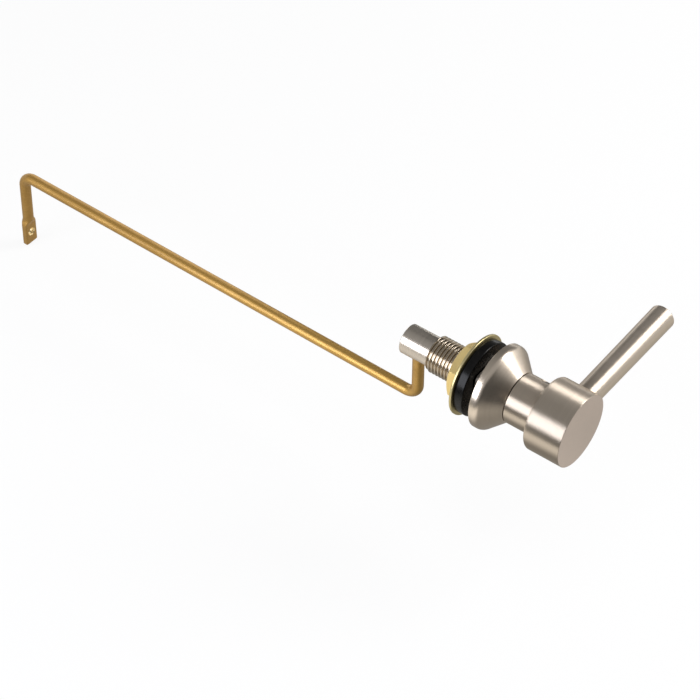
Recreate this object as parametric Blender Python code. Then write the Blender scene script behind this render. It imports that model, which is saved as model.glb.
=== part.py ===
# Toilet tank trip lever: a turned hub with a side handle works a bent brass arm behind the tank wall.
# The spindle lies along Y, the hub's face looks to -Y, the handle points to +X and the arm hangs to -Z.
# The tank's outer face is the plane Y = 0, and the spindle's axis passes through the origin.
import math

import bmesh
import bpy
from mathutils import Vector

MM = 0.001

# Fits
RUNNING_GAP = 0.2 * MM
SEAT_GAP = 0.2 * MM
DRILL_OVERRUN = 2.0 * MM

# Escutcheon: a cone with a straight rim and a hollow back
ESCUTCHEON_D = 34.8 * MM
ESCUTCHEON_H = 10.25 * MM
ESCUTCHEON_RIM_H = 3.15 * MM
ESCUTCHEON_RIM_ROUND = 3.0 * MM
ESCUTCHEON_EDGE = 0.3 * MM
ESCUTCHEON_FRONT_D = 21.0 * MM
ESCUTCHEON_WALL = 2.2 * MM
ESCUTCHEON_HOLLOW = 3.0 * MM
ESCUTCHEON_LIP = 2.25 * MM

# Threaded shank with the square that stops it turning in the tank's hole
SQUARE_SIDE = 15.5 * MM
SQUARE_REACH = 4.1 * MM
SQUARE_ROUND = 2.2 * MM
SPIGOT_D = 14.0 * MM
SHANK_REACH = 27.2 * MM
SHANK_BORE_D = 10.8 * MM
THREAD_D = 15.0 * MM
THREAD_PITCH = 1.5 * MM
THREAD_DEPTH = 0.85 * MM
THREAD_RUNOUT = 0.2 * MM

# Spindle
SHAFT_D = 8.0 * MM
SHAFT_IN_HUB = 13.6 * MM
HEAD_D = 12.2 * MM
HEAD_LENGTH = 12.85 * MM
HEAD_EDGE = 0.3 * MM
BUSH_LENGTH = 10.0 * MM
FRICTION_RING_SECTION = 1.6 * MM
RING_GROOVE_DEPTH = 0.5 * MM
RING_GROOVE_WIDTH = 2.0 * MM

# Hub: a drum that carries the handle and a neck that carries the spindle
WASHER_T = 0.4 * MM
WASHER_D = 18.8 * MM
NECK_D = 20.6 * MM
NECK_LENGTH = 11.35 * MM
NECK_EDGE = 0.25 * MM
NECK_FILLET = 0.9 * MM
DRUM_D = 30.0 * MM
DRUM_LENGTH = 16.0 * MM
DRUM_REAR_ROUND = 1.6 * MM
DRUM_FACE_EDGE = 0.25 * MM

# Handle: a rod that flares a little towards its tip, held to the hub by a stud
HANDLE_FROM_FACE = 8.3 * MM
HANDLE_REACH = 69.0 * MM
HANDLE_ROOT_D = 9.75 * MM
HANDLE_TIP_D = 10.4 * MM
HANDLE_TIP_EDGE = 0.5 * MM
HANDLE_SEAT = 2.0 * MM
STUD_D = 5.0 * MM
STUD_IN_HUB = 8.5 * MM
STUD_IN_HANDLE = 10.0 * MM
STUD_EDGE = 0.4 * MM

# Set screws
HUB_SCREW_D = 4.0 * MM
HUB_SCREW_FROM_DRUM = 4.1 * MM
HUB_SCREW_ANGLE = math.radians(48.0)
HUB_SCREW_SUNK = 0.5 * MM
ARM_SCREW_D = 5.0 * MM
ARM_SCREW_SUNK = 0.3 * MM
SOCKET_SHARE = 0.5
SOCKET_DEPTH = 1.0 * MM
SCREW_EDGE = 0.3 * MM

# Gasket and lock nut
GASKET_D = 30.8 * MM
GASKET_T = 3.7 * MM
GASKET_ROUND = 0.45 * MM
NUT_FLANGE_D = 33.6 * MM
NUT_FLANGE_T = 1.1 * MM
NUT_FLANGE_EDGE = 0.35 * MM
NUT_HEIGHT = 6.8 * MM
NUT_ACROSS_FLATS = 20.7 * MM
NUT_CLOCKING = math.radians(27.0)
NUT_CHAMFER_D = 20.3 * MM
NUT_CHAMFER_SLOPE = math.tan(math.radians(30.0))

# Arm: one bent brass rod, pressed flat at its tip and drilled for the chain
ARM_D = 4.76 * MM
ARM_FROM_HEAD_END = 5.1 * MM
ARM_IN_HEAD = 3.2 * MM
ARM_DROP = 28.3 * MM
ARM_RUN = 206.5 * MM
ARM_RISE = math.radians(0.5)
ARM_LEAN = math.radians(2.0)
ARM_BEND_R = 5.6 * MM
ARM_TAIL = 38.6 * MM
ARM_END_EDGE = 0.5 * MM
PADDLE_LENGTH = 14.0 * MM
PADDLE_TAPER = 3.5 * MM
PADDLE_W = 6.5 * MM
PADDLE_T = 2.6 * MM
PADDLE_PRESS = 1.38
CHAIN_HOLE_D = 3.2 * MM
CHAIN_HOLE_FROM_TIP = 6.2 * MM

# Facets
ROUND_SIDES = 48
SHANK_SIDES = 40
SHAFT_SIDES = 32
SMALL_SIDES = 24
ROD_SIDES = 16
ARC_STEPS = 4
BEND_STEPS = 8
SMOOTH_ANGLE = math.radians(35.0)

# Stations along the spindle, from the hub's face to the head's end
ESCUTCHEON_FRONT = -ESCUTCHEON_H
WASHER_REAR = ESCUTCHEON_FRONT - SEAT_GAP
NECK_REAR = WASHER_REAR - WASHER_T - SEAT_GAP
DRUM_REAR = NECK_REAR - NECK_LENGTH
HUB_FACE = DRUM_REAR - DRUM_LENGTH
HANDLE_STATION = HUB_FACE + HANDLE_FROM_FACE
SPIGOT_FRONT = ESCUTCHEON_FRONT + ESCUTCHEON_LIP + SEAT_GAP
SQUARE_FRONT = -ESCUTCHEON_HOLLOW + SEAT_GAP
GASKET_FRONT = SQUARE_REACH + SEAT_GAP
NUT_FRONT = GASKET_FRONT + GASKET_T + SEAT_GAP
HEAD_FRONT = SHANK_REACH + SEAT_GAP
HEAD_END = HEAD_FRONT + HEAD_LENGTH
ARM_STATION = HEAD_END - ARM_FROM_HEAD_END
SHAFT_FRONT = NECK_REAR - SHAFT_IN_HUB
RING_STATION = (SPIGOT_FRONT + SHANK_REACH) / 2

SATIN_NICKEL = ((0.56, 0.52, 0.47), 0.32, 1.0)
BRIGHT_NICKEL = ((0.66, 0.62, 0.57), 0.22, 1.0)
MACHINED_BRASS = ((0.78, 0.62, 0.30), 0.30, 1.0)
RAW_BRASS = ((0.55, 0.36, 0.12), 0.38, 1.0)
BLACK_RUBBER = ((0.012, 0.012, 0.012), 0.55, 0.0)
BLACK_NYLON = ((0.02, 0.02, 0.02), 0.45, 0.0)
WHITE_ACETAL = ((0.75, 0.74, 0.70), 0.40, 0.0)
DARK_STEEL = ((0.10, 0.10, 0.11), 0.40, 1.0)


def clear_scene():
    for old in list(bpy.data.objects):
        bpy.data.objects.remove(old, do_unlink=True)


def add_axis(name, parent=None, location=(0, 0, 0), rotation=(0, 0, 0)):
    empty = bpy.data.objects.new(name, None)
    empty.parent = parent
    empty.location = location
    empty.rotation_euler = rotation
    bpy.context.collection.objects.link(empty)
    return empty


def finish_material(name, finish):
    colour, roughness, metallic = finish
    material = bpy.data.materials.new(name)
    material.use_nodes = True
    shader = material.node_tree.nodes["Principled BSDF"]
    shader.inputs["Base Color"].default_value = (*colour, 1.0)
    shader.inputs["Roughness"].default_value = roughness
    shader.inputs["Metallic"].default_value = metallic
    return material


def skin_rings(name, rings, looped):
    # Joins rings of points with quads; a looped stack closes on itself, any other gets end caps.
    shape = bmesh.new()
    rows = [[shape.verts.new(point) for point in ring] for ring in rings]
    pairs = list(zip(rows, rows[1:]))
    if looped:
        pairs.append((rows[-1], rows[0]))
    else:
        shape.faces.new(rows[0])
        shape.faces.new(rows[-1])
    for row, after in pairs:
        for i in range(len(row)):
            j = (i + 1) % len(row)
            shape.faces.new((row[i], row[j], after[j], after[i]))
    bmesh.ops.recalc_face_normals(shape, faces=shape.faces)
    mesh = bpy.data.meshes.new(name)
    shape.to_mesh(mesh)
    shape.free()
    mesh.shade_smooth()
    mesh.set_sharp_from_angle(angle=SMOOTH_ANGLE)
    return mesh


def add_piece(name, rings, finish, parent, looped=False, location=(0, 0, 0), rotation=(0, 0, 0)):
    piece = bpy.data.objects.new(name, skin_rings(name, rings, looped))
    piece.data.materials.append(finish_material(name, finish))
    piece.parent = parent
    piece.location = location
    piece.rotation_euler = rotation
    bpy.context.collection.objects.link(piece)
    return piece


def drill(piece, name, diameter, length, sides, location, rotation=(0, 0, 0)):
    # A round cut that starts at its location and runs along its own Z.
    rings = [circle(diameter / 2, 0, sides), circle(diameter / 2, length, sides)]
    cutter = bpy.data.objects.new(name, skin_rings(name, rings, False))
    cutter.parent = piece.parent
    cutter.location = location
    cutter.rotation_euler = rotation
    cutter.hide_render = True
    cutter.display_type = 'WIRE'
    bpy.context.collection.objects.link(cutter)
    cut = piece.modifiers.new(name, 'BOOLEAN')
    cut.operation = 'DIFFERENCE'
    cut.object = cutter


def circle(radius, z, sides, clocking=0.0):
    turns = [clocking + 2 * math.pi * i / sides for i in range(sides)]
    return [Vector((radius * math.cos(t), radius * math.sin(t), z)) for t in turns]


def polygon_radius(turn, flats, inner_radius, rounding):
    # Distance from the centre to a regular polygon with a rounded corner at turn zero.
    half = math.pi / flats
    from_flat = abs(turn % (2 * half) - half)
    straight = inner_radius - rounding
    if from_flat <= math.atan(straight * math.tan(half) / inner_radius):
        return inner_radius / math.cos(from_flat)
    arc_centre = straight / math.cos(half)
    aside = arc_centre * math.sin(half - from_flat)
    return arc_centre * math.cos(half - from_flat) + math.sqrt(max(0.0, rounding ** 2 - aside ** 2))


def polygon(across_flats, z, flats, sides, clocking, rounding=0.0):
    ring = []
    for i in range(sides):
        turn = 2 * math.pi * i / sides
        reach = polygon_radius(turn, flats, across_flats / 2, rounding)
        ring.append(Vector((reach * math.cos(turn + clocking), reach * math.sin(turn + clocking), z)))
    return ring


def rounded(corners):
    # Turns (radius, z, rounding) corners of a closed outline into points, with an arc at each rounding.
    outline = []
    for i, (radius, z, rounding) in enumerate(corners):
        corner = Vector((radius, z))
        if rounding == 0:
            outline.append(corner)
            continue
        back = (Vector(corners[i - 1][:2]) - corner).normalized()
        ahead = (Vector(corners[(i + 1) % len(corners)][:2]) - corner).normalized()
        half = back.angle(ahead) / 2
        centre = corner + (back + ahead).normalized() * rounding / math.sin(half)
        start = corner + back * rounding / math.tan(half) - centre
        end = corner + ahead * rounding / math.tan(half) - centre
        sweep = math.pi - 2 * half
        for k in range(ARC_STEPS + 1):
            share = k / ARC_STEPS
            lean = start * math.sin((1 - share) * sweep) + end * math.sin(share * sweep)
            outline.append(centre + lean / math.sin(sweep))
    return outline


def turned(outline, sides):
    return [circle(radius, z, sides) for radius, z in outline]


def tube(inner_d, outer_d, start, end, sides):
    outline = [(inner_d / 2, start), (outer_d / 2, start), (outer_d / 2, end), (inner_d / 2, end)]
    return turned(outline, sides)


def make_escutcheon(axis):
    rim = ESCUTCHEON_D / 2
    hollow = rim - ESCUTCHEON_WALL
    spigot_bore = SPIGOT_D / 2 + RUNNING_GAP
    shaft_bore = SHAFT_D / 2 + RUNNING_GAP
    lip = ESCUTCHEON_FRONT + ESCUTCHEON_LIP
    outline = rounded([
        (hollow, 0, 0),
        (rim, 0, ESCUTCHEON_EDGE),
        (rim, -ESCUTCHEON_RIM_H, ESCUTCHEON_RIM_ROUND),
        (ESCUTCHEON_FRONT_D / 2, ESCUTCHEON_FRONT, ESCUTCHEON_EDGE),
        (shaft_bore, ESCUTCHEON_FRONT, 0),
        (shaft_bore, lip, 0),
        (spigot_bore, lip, 0),
        (spigot_bore, -ESCUTCHEON_HOLLOW, 0),
        (hollow, -ESCUTCHEON_HOLLOW, 0),
    ])
    add_piece("escutcheon", turned(outline, ROUND_SIDES), SATIN_NICKEL, axis, looped=True)


def make_threaded_shank(axis):
    bore = SHANK_BORE_D / 2
    crest = THREAD_D / 2
    root = crest - THREAD_DEPTH
    spigot = SPIGOT_D / 2
    corner_turn = math.pi / 4
    stations = [(bore, SHANK_REACH), (bore, SPIGOT_FRONT), (spigot, SPIGOT_FRONT), (spigot, SQUARE_FRONT)]
    rings = [circle(radius, z, SHANK_SIDES, corner_turn) for radius, z in stations]
    rings.append(polygon(SQUARE_SIDE, SQUARE_FRONT, 4, SHANK_SIDES, corner_turn, SQUARE_ROUND))
    rings.append(polygon(SQUARE_SIDE, SQUARE_REACH, 4, SHANK_SIDES, corner_turn, SQUARE_ROUND))
    rings.append(circle(root, SQUARE_REACH, SHANK_SIDES, corner_turn))
    ridges = int((SHANK_REACH - SQUARE_REACH - THREAD_RUNOUT) / THREAD_PITCH)
    first = SHANK_REACH - ridges * THREAD_PITCH
    for i in range(ridges):
        foot = first + i * THREAD_PITCH
        rings.append(circle(root, foot, SHANK_SIDES, corner_turn))
        rings.append(circle(crest, foot + THREAD_PITCH / 2, SHANK_SIDES, corner_turn))
    rings.append(circle(root, SHANK_REACH, SHANK_SIDES, corner_turn))
    add_piece("threaded_shank", rings, BRIGHT_NICKEL, axis, looped=True)


def make_bushes(axis):
    inner = SHAFT_D + 2 * RUNNING_GAP
    outer = SHANK_BORE_D - 2 * RUNNING_GAP
    front = tube(inner, outer, SPIGOT_FRONT, SPIGOT_FRONT + BUSH_LENGTH, SHAFT_SIDES)
    rear = tube(inner, outer, SHANK_REACH - BUSH_LENGTH, SHANK_REACH, SHAFT_SIDES)
    add_piece("front_bush", front, WHITE_ACETAL, axis, looped=True)
    add_piece("rear_bush", rear, WHITE_ACETAL, axis, looped=True)


def make_thrust_washer(axis):
    inner = SHAFT_D + 2 * RUNNING_GAP
    rings = tube(inner, WASHER_D, WASHER_REAR - WASHER_T, WASHER_REAR, ROUND_SIDES)
    add_piece("thrust_washer", rings, BLACK_NYLON, axis, looped=True)


def make_spindle(axis):
    shaft = SHAFT_D / 2
    groove = shaft - RING_GROOVE_DEPTH
    groove_half = RING_GROOVE_WIDTH / 2
    head = HEAD_D / 2
    outline = [
        (shaft - HEAD_EDGE, SHAFT_FRONT),
        (shaft, SHAFT_FRONT + HEAD_EDGE),
        (shaft, RING_STATION - groove_half),
        (groove, RING_STATION - groove_half),
        (groove, RING_STATION + groove_half),
        (shaft, RING_STATION + groove_half),
        (shaft, HEAD_FRONT),
        (head, HEAD_FRONT),
        (head, HEAD_END - HEAD_EDGE),
        (head - HEAD_EDGE, HEAD_END),
    ]
    spindle = add_piece("spindle", turned(outline, SHAFT_SIDES), SATIN_NICKEL, axis)
    leg_bore = ARM_D + 2 * RUNNING_GAP
    bore_top = ARM_IN_HEAD + SEAT_GAP
    drill(spindle, "arm_bore", leg_bore, bore_top + HEAD_D / 2 + DRILL_OVERRUN, SMALL_SIDES,
          (0, -bore_top, ARM_STATION), (-math.pi / 2, 0, 0))
    drill(spindle, "arm_screw_bore", ARM_SCREW_D + 2 * RUNNING_GAP, ARM_FROM_HEAD_END + DRILL_OVERRUN,
          SMALL_SIDES, (0, 0, ARM_STATION))


def make_friction_ring(axis):
    section = FRICTION_RING_SECTION / 2
    middle = SHAFT_D / 2 - RING_GROOVE_DEPTH + RUNNING_GAP / 2 + section
    outline = []
    for i in range(2 * BEND_STEPS):
        turn = math.pi * i / BEND_STEPS
        outline.append((middle + section * math.cos(turn), RING_STATION + section * math.sin(turn)))
    add_piece("friction_ring", turned(outline, SHAFT_SIDES), BLACK_RUBBER, axis, looped=True)


def make_hub(axis):
    drum = DRUM_D / 2
    neck = NECK_D / 2
    bore = SHAFT_D / 2 + RUNNING_GAP
    bore_end = SHAFT_FRONT - SEAT_GAP
    corners = [
        (0, HUB_FACE, 0),
        (drum, HUB_FACE, DRUM_FACE_EDGE),
        (drum, DRUM_REAR, DRUM_REAR_ROUND),
        (neck, DRUM_REAR, NECK_FILLET),
        (neck, NECK_REAR, NECK_EDGE),
        (bore, NECK_REAR, 0),
        (bore, bore_end, 0),
        (0, bore_end, 0),
    ]
    outline = rounded(corners)[1:-1]
    hub = add_piece("hub", turned(outline, ROUND_SIDES), SATIN_NICKEL, axis)
    across = (0, math.pi / 2, 0)
    seat = drum - HANDLE_SEAT
    drill(hub, "handle_seat", HANDLE_ROOT_D + RUNNING_GAP, HANDLE_SEAT + DRILL_OVERRUN, SHAFT_SIDES,
          (seat, 0, HANDLE_STATION), across)
    stud_floor = seat - STUD_IN_HUB - SEAT_GAP
    drill(hub, "stud_bore", STUD_D + 2 * RUNNING_GAP, drum - stud_floor, SMALL_SIDES,
          (stud_floor, 0, HANDLE_STATION), across)
    screw_station = DRUM_REAR + HUB_SCREW_FROM_DRUM
    drill(hub, "hub_screw_bore", HUB_SCREW_D + RUNNING_GAP, neck + DRILL_OVERRUN, SMALL_SIDES,
          (0, 0, screw_station), (0, math.pi / 2, -HUB_SCREW_ANGLE))


def set_screw(diameter, length):
    radius = diameter / 2
    socket = diameter * SOCKET_SHARE
    return [
        circle(radius - SCREW_EDGE, 0, SMALL_SIDES),
        circle(radius, SCREW_EDGE, SMALL_SIDES),
        circle(radius, length - SCREW_EDGE, SMALL_SIDES),
        circle(radius - SCREW_EDGE, length, SMALL_SIDES),
        polygon(socket, length, 6, SMALL_SIDES, 0),
        polygon(socket, length - SOCKET_DEPTH, 6, SMALL_SIDES, 0),
    ]


def make_set_screws(axis):
    foot = SHAFT_D / 2 + SEAT_GAP
    length = NECK_D / 2 - HUB_SCREW_SUNK - foot
    turn = -HUB_SCREW_ANGLE
    place = (foot * math.cos(turn), foot * math.sin(turn), DRUM_REAR + HUB_SCREW_FROM_DRUM)
    add_piece("hub_set_screw", set_screw(HUB_SCREW_D, length), DARK_STEEL, axis, location=place,
              rotation=(0, math.pi / 2, turn))
    arm_foot = ARM_STATION + ARM_D / 2 + SEAT_GAP
    arm_length = HEAD_END - ARM_SCREW_SUNK - arm_foot
    add_piece("arm_set_screw", set_screw(ARM_SCREW_D, arm_length), DARK_STEEL, axis,
              location=(0, 0, arm_foot))


def make_handle(axis):
    seat = DRUM_D / 2 - HANDLE_SEAT
    root_end = seat + SEAT_GAP
    bore = STUD_D / 2 + RUNNING_GAP
    bore_end = seat + STUD_IN_HANDLE + SEAT_GAP
    corners = [
        (0, bore_end, 0),
        (bore, bore_end, 0),
        (bore, root_end, 0),
        (HANDLE_ROOT_D / 2, root_end, 0),
        (HANDLE_TIP_D / 2, HANDLE_REACH, HANDLE_TIP_EDGE),
        (0, HANDLE_REACH, 0),
    ]
    place = (0, 0, HANDLE_STATION)
    across = (0, math.pi / 2, 0)
    add_piece("handle_rod", turned(rounded(corners)[1:-1], SHAFT_SIDES), SATIN_NICKEL, axis,
              location=place, rotation=across)
    stud = STUD_D / 2
    start = seat - STUD_IN_HUB
    end = seat + STUD_IN_HANDLE
    outline = [(stud - STUD_EDGE, start), (stud, start + STUD_EDGE), (stud, end - STUD_EDGE),
               (stud - STUD_EDGE, end)]
    add_piece("handle_stud", turned(outline, SMALL_SIDES), DARK_STEEL, axis, location=place, rotation=across)


def make_gasket(axis):
    hole = THREAD_D / 2 + RUNNING_GAP
    rim = GASKET_D / 2
    outline = rounded([
        (hole, 0, 0),
        (rim, 0, GASKET_ROUND),
        (rim, GASKET_T, 0),
        (hole, GASKET_T, 0),
    ])
    add_piece("gasket", turned(outline, ROUND_SIDES), BLACK_RUBBER, axis, looped=True,
              location=(0, 0, GASKET_FRONT))


def make_lock_nut(axis):
    hole = THREAD_D / 2 + RUNNING_GAP
    flange = NUT_FLANGE_D / 2
    clocking = -NUT_CLOCKING
    rings = [circle(radius, z, ROUND_SIDES, clocking) for radius, z in rounded([
        (hole, 0, 0),
        (flange, 0, NUT_FLANGE_EDGE),
        (flange, NUT_FLANGE_T, NUT_FLANGE_EDGE),
        (hole, NUT_FLANGE_T, 0),
    ])[:-1]]
    rings.append(polygon(NUT_ACROSS_FLATS, NUT_FLANGE_T, 6, ROUND_SIDES, clocking))
    shoulder = polygon(NUT_ACROSS_FLATS, NUT_HEIGHT, 6, ROUND_SIDES, clocking)
    for point in shoulder:
        reach = math.hypot(point.x, point.y)
        point.z -= (reach - NUT_CHAMFER_D / 2) * NUT_CHAMFER_SLOPE
    rings.append(shoulder)
    rings.append(circle(NUT_CHAMFER_D / 2, NUT_HEIGHT, ROUND_SIDES, clocking))
    rings.append(circle(hole, NUT_HEIGHT, ROUND_SIDES, clocking))
    add_piece("lock_nut", rings, MACHINED_BRASS, axis, looped=True, location=(0, 0, NUT_FRONT))


def bend(corner, before, after):
    # Points and directions round a rounded corner of the arm's centre line.
    half = before.angle(after) / 2
    start = corner - before * ARM_BEND_R * math.tan(half)
    inward = (after - before * before.dot(after)).normalized()
    steps = []
    for k in range(BEND_STEPS + 1):
        turn = 2 * half * k / BEND_STEPS
        ahead = before * math.sin(turn) + inward * (1 - math.cos(turn))
        steps.append((start + ahead * ARM_BEND_R, before * math.cos(turn) + inward * math.sin(turn)))
    return steps


def arm_section(centre, heading, width, thickness, pressed=1.0):
    # A ring square to the heading: an ellipse, squared off on four sides where it is pressed by more than 1.
    side = Vector((1, 0, 0))
    normal = heading.cross(side)
    ring = []
    for i in range(ROD_SIDES):
        turn = 2 * math.pi * i / ROD_SIDES
        x = width / 2 * max(-1.0, min(1.0, pressed * math.cos(turn)))
        y = thickness / 2 * max(-1.0, min(1.0, pressed * math.sin(turn)))
        ring.append(centre + side * x + normal * y)
    return ring


def make_arm(axis):
    down = Vector((0, 0, -1))
    run = Vector((0, math.cos(ARM_RISE), math.sin(ARM_RISE)))
    top = -down * ARM_IN_HEAD
    elbow = down * ARM_DROP
    corner = elbow + run * ARM_RUN
    tail = Vector((0, math.sin(ARM_LEAN), -math.cos(ARM_LEAN)))
    tip = corner + tail * ARM_TAIL
    paddle_top = tip - tail * PADDLE_LENGTH
    end_d = ARM_D - 2 * ARM_END_EDGE
    tip_w = PADDLE_W - 2 * ARM_END_EDGE
    tip_t = PADDLE_T - 2 * ARM_END_EDGE
    rings = [arm_section(top, down, end_d, end_d), arm_section(top + down * ARM_END_EDGE, down, ARM_D, ARM_D)]
    for point, heading in bend(elbow, down, run) + bend(corner, run, tail) + [(paddle_top, tail)]:
        rings.append(arm_section(point, heading, ARM_D, ARM_D))
    for point in (paddle_top + tail * PADDLE_TAPER, tip - tail * ARM_END_EDGE):
        rings.append(arm_section(point, tail, PADDLE_W, PADDLE_T, PADDLE_PRESS))
    rings.append(arm_section(tip, tail, tip_w, tip_t, PADDLE_PRESS))
    arm = add_piece("arm_rod", rings, RAW_BRASS, axis)
    face = tail.cross(Vector((1, 0, 0)))
    hole = tip - tail * CHAIN_HOLE_FROM_TIP
    drill(arm, "chain_hole", CHAIN_HOLE_D, PADDLE_T + 2 * DRILL_OVERRUN, SMALL_SIDES,
          hole - face * (PADDLE_T / 2 + DRILL_OVERRUN), (math.pi / 2 + ARM_LEAN, 0, 0))


def main():
    clear_scene()
    along_spindle = (-math.pi / 2, 0, 0)
    wall = add_axis("tank_wall_axis", rotation=along_spindle)
    lever = add_axis("lever_axis", rotation=along_spindle)
    seal = add_axis("seal_axis", rotation=along_spindle)
    arm = add_axis("arm_axis", location=(0, ARM_STATION, 0))
    make_escutcheon(wall)
    make_threaded_shank(wall)
    make_bushes(wall)
    make_thrust_washer(wall)
    make_spindle(lever)
    make_friction_ring(lever)
    make_hub(lever)
    make_handle(lever)
    make_set_screws(lever)
    make_gasket(seal)
    make_lock_nut(seal)
    make_arm(arm)


main()
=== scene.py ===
import math

import bmesh
import bpy
from mathutils import Matrix, Quaternion, Vector


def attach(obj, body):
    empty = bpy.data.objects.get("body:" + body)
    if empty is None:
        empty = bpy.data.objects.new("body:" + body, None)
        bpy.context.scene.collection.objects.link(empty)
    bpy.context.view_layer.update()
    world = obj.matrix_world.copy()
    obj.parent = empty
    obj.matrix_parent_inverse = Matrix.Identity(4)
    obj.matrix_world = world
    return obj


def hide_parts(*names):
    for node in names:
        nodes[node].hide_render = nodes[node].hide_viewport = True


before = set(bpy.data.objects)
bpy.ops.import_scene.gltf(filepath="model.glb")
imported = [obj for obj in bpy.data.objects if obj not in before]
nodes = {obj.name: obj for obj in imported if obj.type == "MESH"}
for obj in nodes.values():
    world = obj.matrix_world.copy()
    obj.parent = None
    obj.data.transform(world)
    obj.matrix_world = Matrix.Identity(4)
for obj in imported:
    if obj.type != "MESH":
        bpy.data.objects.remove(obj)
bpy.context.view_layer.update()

mm = 0.001
poleR = 0.2  # mm, the small flat where a turned outline meets its axis
uvPerMm = 0.01
sharpEdge = 30.0  # degrees


# shape helpers, with lengths in mm

def turnsOf(sides):
    return [2 * math.pi * i / sides for i in range(sides)]


def aroundY(radius, station, sides):
    return [Vector((radius * math.cos(turn), station, radius * math.sin(turn))) * mm for turn in turnsOf(sides)]


def aroundX(radius, station, sides, middle):
    ring = []
    for turn in turnsOf(sides):
        spot = Vector((station, middle[0] + radius * math.cos(turn), middle[1] + radius * math.sin(turn)))
        ring.append(spot * mm)
    return ring


def roundedOutline(corners, steps):
    # (radius, station, rounding) corners of a closed outline become points with arcs
    outline = []
    for i, (radius, station, rounding) in enumerate(corners):
        corner = Vector((radius, station))
        if rounding == 0:
            outline.append(corner)
            continue
        back = (Vector(corners[i - 1][:2]) - corner).normalized()
        ahead = (Vector(corners[(i + 1) % len(corners)][:2]) - corner).normalized()
        half = back.angle(ahead) / 2
        centre = corner + (back + ahead).normalized() * rounding / math.sin(half)
        start = corner + back * rounding / math.tan(half) - centre
        end = corner + ahead * rounding / math.tan(half) - centre
        sweep = math.pi - 2 * half
        for k in range(steps + 1):
            share = k / steps
            lean = start * math.sin((1 - share) * sweep) + end * math.sin(share * sweep)
            outline.append(centre + lean / math.sin(sweep))
    return outline


def filledIn(outline, longest, looped):
    # adds points so that no stretch of the outline is longer than that
    points = list(outline)
    if looped:
        points.append(points[0])
    dense = []
    for a, b in zip(points, points[1:]):
        parts = max(1, math.ceil((b - a).length / longest))
        dense += [a.lerp(b, k / parts) for k in range(parts)]
    if not looped:
        dense.append(points[-1])
    return dense


def skin(name, rings, looped=False, sharpAngle=sharpEdge):
    # joins rings with quads; the UV map "turned" has U along the outline and V round it
    shape = bmesh.new()
    grid = shape.loops.layers.uv.new("turned")
    rows = [[shape.verts.new(point) for point in ring] for ring in rings]
    stations = [0.0]
    for ring, after in zip(rings, rings[1:] + rings[:1]):
        stations.append(stations[-1] + (after[0] - ring[0]).length / mm)
    pairs = list(zip(rows, rows[1:]))
    if looped:
        pairs.append((rows[-1], rows[0]))
    sides = len(rings[0])
    for k, (row, after) in enumerate(pairs):
        for i in range(sides):
            j = (i + 1) % sides
            face = shape.faces.new((row[i], row[j], after[j], after[i]))
            corners = ((k, i), (k, i + 1), (k + 1, i + 1), (k + 1, i))
            for loop, (u, v) in zip(face.loops, corners):
                loop[grid].uv = (stations[u] * uvPerMm, v / sides)
    if not looped:
        for row in (rows[0], rows[-1]):
            face = shape.faces.new(row)
            for loop in face.loops:
                loop[grid].uv = (loop.vert.co.x / mm * uvPerMm, loop.vert.co.z / mm * uvPerMm)
    bmesh.ops.recalc_face_normals(shape, faces=shape.faces)
    mesh = bpy.data.meshes.new(name)
    shape.to_mesh(mesh)
    shape.free()
    mesh.shade_smooth()
    mesh.set_sharp_from_angle(angle=math.radians(sharpAngle))
    piece = bpy.data.objects.new(name, mesh)
    bpy.context.scene.collection.objects.link(piece)
    return piece


def settle(piece, sharpAngle=sharpEdge):
    # turns the modified shape into a plain mesh
    graph = bpy.context.evaluated_depsgraph_get()
    mesh = bpy.data.meshes.new_from_object(piece.evaluated_get(graph))
    piece.modifiers.clear()
    old = piece.data
    piece.data = mesh
    bpy.data.meshes.remove(old)
    mesh.name = piece.name
    mesh.shade_smooth()
    mesh.set_sharp_from_angle(angle=math.radians(sharpAngle))


def drill(piece, start, direction, stages, sides):
    # a round cut from start along direction, through (reach, radius) stages
    aim = Vector((0, 0, 1)).rotation_difference(Vector(direction)).to_matrix()
    rings = []
    for reach, radius in stages:
        ring = []
        for turn in turnsOf(sides):
            spot = Vector((radius * math.cos(turn), radius * math.sin(turn), reach))
            ring.append((aim @ spot + Vector(start)) * mm)
        rings.append(ring)
    cutter = skin("cutter", rings)
    cut = piece.modifiers.new("cut", "BOOLEAN")
    cut.operation = "DIFFERENCE"
    cut.solver = "EXACT"
    cut.object = cutter
    settle(piece)
    bpy.data.objects.remove(cutter, do_unlink=True)


# material helpers

def startFinish(name):
    material = bpy.data.materials.new(name)
    material.use_nodes = True
    return material, material.node_tree, material.node_tree.nodes["Principled BSDF"]


def pattern(tree, scale, turn=(0, 0, 0)):
    place = tree.nodes.new("ShaderNodeTexCoord")
    mapping = tree.nodes.new("ShaderNodeMapping")
    mapping.inputs["Scale"].default_value = scale
    mapping.inputs["Rotation"].default_value = turn
    tree.links.new(place.outputs["Object"], mapping.inputs["Vector"])
    return mapping.outputs["Vector"]


def placeOf(tree, scale=(1, 1, 1)):
    split = tree.nodes.new("ShaderNodeSeparateXYZ")
    tree.links.new(pattern(tree, scale), split.inputs["Vector"])
    return split.outputs


def grain(tree, vector, scale, detail=2.0, roughness=0.5):
    noise = tree.nodes.new("ShaderNodeTexNoise")
    noise.inputs["Scale"].default_value = scale
    noise.inputs["Detail"].default_value = detail
    noise.inputs["Roughness"].default_value = roughness
    tree.links.new(vector, noise.inputs["Vector"])
    return noise.outputs["Fac"]


def spread(tree, value, limits, results=(0, 1)):
    node = tree.nodes.new("ShaderNodeMapRange")
    for socket, number in zip(("From Min", "From Max", "To Min", "To Max"), (*limits, *results)):
        node.inputs[socket].default_value = number
    tree.links.new(value, node.inputs["Value"])
    return node.outputs["Result"]


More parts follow.
